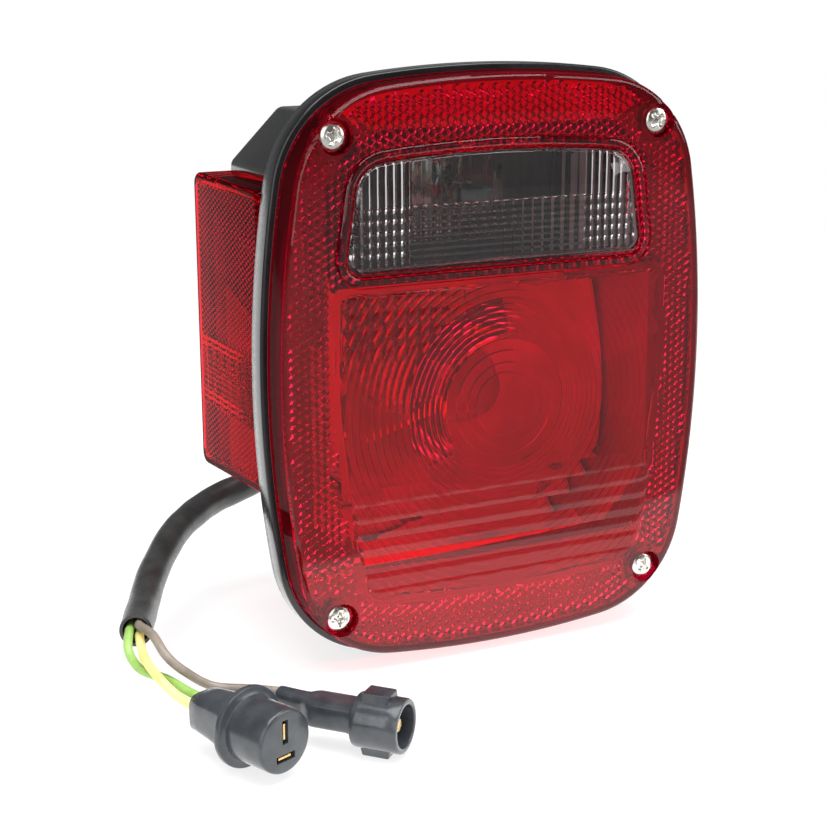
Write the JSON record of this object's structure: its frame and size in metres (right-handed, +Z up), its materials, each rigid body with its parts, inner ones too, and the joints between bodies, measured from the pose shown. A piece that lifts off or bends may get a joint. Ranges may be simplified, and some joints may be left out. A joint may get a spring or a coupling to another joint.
{
  "type": "combination tail lamp",
  "caption": "Boxed rear combination lamp: red stop and tail lens with reflex border, clear reversing window, red side marker, rear studs and a sleeved cable ending in two plugs.",
  "frame": {"origin": "the rear mounting face, level with the centre of the four lens screws", "axes": "+X sideways to the right as seen from behind the vehicle, +Y into the vehicle along the mounting studs, +Z up; the lens faces -Y"},
  "size_m": [0.2233, 0.1801, 0.2058],
  "materials": {
    "black_plastic": "moulded, slightly glossy",
    "red_plastic": "clear-moulded red, polished",
    "clear_plastic": "clear-moulded, polished",
    "black_rubber": "matt",
    "screw_steel": "stainless, turned",
    "bright_metal": "bright, slightly satin",
    "plated_steel": "zinc plated",
    "aluminium_rivet": "pressed",
    "spring_steel": "drawn wire",
    "brown_board": "pressed phenolic board",
    "brass": "drawn",
    "black_glass": "black glass bead",
    "solder": "dull solder",
    "bulb_glass": "clear",
    "tungsten": "fine wire",
    "sleeve_plastic": "extruded, satin",
    "yellow_insulation": "satin insulation",
    "green_insulation": "satin insulation",
    "grey_insulation": "satin insulation",
    "plug_rubber": "moulded, slightly glossy"
  },
  "bodies": {
    "housing": {"housing": "black_plastic", "side_marker_lens": "red_plastic", "lens_gasket": "black_rubber", "reflector_panel": "bright_metal", "reflector_screws": "plated_steel", "light_baffle": "black_plastic", "socket_rivets": "aluminium_rivet", "stop_tail_socket": "plated_steel", "stop_tail_spring": "spring_steel", "backup_socket": "plated_steel", "backup_spring": "spring_steel", "mounting_studs": "plated_steel", "ground_strap": "plated_steel", "cable_grommet": "black_rubber", "cable_sleeve": "sleeve_plastic", "yellow_wire": "yellow_insulation", "green_wire": "green_insulation", "grey_wire": "grey_insulation", "two_pole_plug": "plug_rubber", "two_pole_plug_blades": "brass", "one_pole_plug": "plug_rubber", "one_pole_plug_pin": "brass"},
    "lens": {"red_lens": "red_plastic", "clear_window": "clear_plastic"},
    "screw_top_left": {"lens_screw_top_left": "screw_steel"},
    "screw_top_right": {"lens_screw_top_right": "screw_steel"},
    "screw_bottom_left": {"lens_screw_bottom_left": "screw_steel"},
    "screw_bottom_right": {"lens_screw_bottom_right": "screw_steel"},
    "stop_tail_carrier": {"stop_tail_contact_carrier": "brown_board", "stop_tail_contacts": "brass"},
    "stop_tail_bulb": {"stop_tail_bulb_base": "brass", "stop_tail_bulb_pins": "brass", "stop_tail_bulb_insulator": "black_glass", "stop_tail_bulb_buttons": "solder", "stop_tail_bulb_glass": "bulb_glass", "stop_tail_bulb_stem": "bulb_glass", "stop_tail_filaments": "tungsten"},
    "backup_carrier": {"backup_contact_carrier": "brown_board", "backup_contact": "brass"},
    "backup_bulb": {"backup_bulb_base": "brass", "backup_bulb_pins": "brass", "backup_bulb_insulator": "black_glass", "backup_bulb_button": "solder", "backup_bulb_glass": "bulb_glass", "backup_bulb_stem": "bulb_glass", "backup_filament": "tungsten"}
  },
  "joints": [
    {"name": "lens_removal", "type": "slide", "parent": "housing", "child": "lens", "axis": [0, -1, 0], "range_m": [0, 0.05]},
    {"name": "screw_top_left_turn", "type": "hinge", "parent": "lens", "child": "screw_top_left", "pos_m": [-0.0614, -0.08, 0.0818], "axis": [0, -1, 0], "continuous": true},
    {"name": "screw_top_right_turn", "type": "hinge", "parent": "lens", "child": "screw_top_right", "pos_m": [0.0614, -0.08, 0.0818], "axis": [0, -1, 0], "continuous": true},
    {"name": "screw_bottom_left_turn", "type": "hinge", "parent": "lens", "child": "screw_bottom_left", "pos_m": [-0.0614, -0.08, -0.0818], "axis": [0, -1, 0], "continuous": true},
    {"name": "screw_bottom_right_turn", "type": "hinge", "parent": "lens", "child": "screw_bottom_right", "pos_m": [0.0614, -0.08, -0.0818], "axis": [0, -1, 0], "continuous": true},
    {"name": "stop_tail_push", "type": "slide", "parent": "housing", "child": "stop_tail_carrier", "axis": [0, 1, 0], "range_m": [0, 0.003], "stiffness_N_per_m": 2500, "springref_m": -0.002, "deforming": ["stop_tail_spring"]},
    {"name": "stop_tail_twist", "type": "hinge", "parent": "stop_tail_carrier", "child": "stop_tail_bulb", "pos_m": [0.002, -0.0225, -0.013], "axis": [0, 1, 0], "range_deg": [0, 18]},
    {"name": "backup_push", "type": "slide", "parent": "housing", "child": "backup_carrier", "axis": [0, 1, 0], "range_m": [0, 0.003], "stiffness_N_per_m": 2500, "springref_m": -0.002, "deforming": ["backup_spring"]},
    {"name": "backup_twist", "type": "hinge", "parent": "backup_carrier", "child": "backup_bulb", "pos_m": [0.002, -0.0225, 0.058], "axis": [0, 1, 0], "range_deg": [0, 18]}
  ]
}
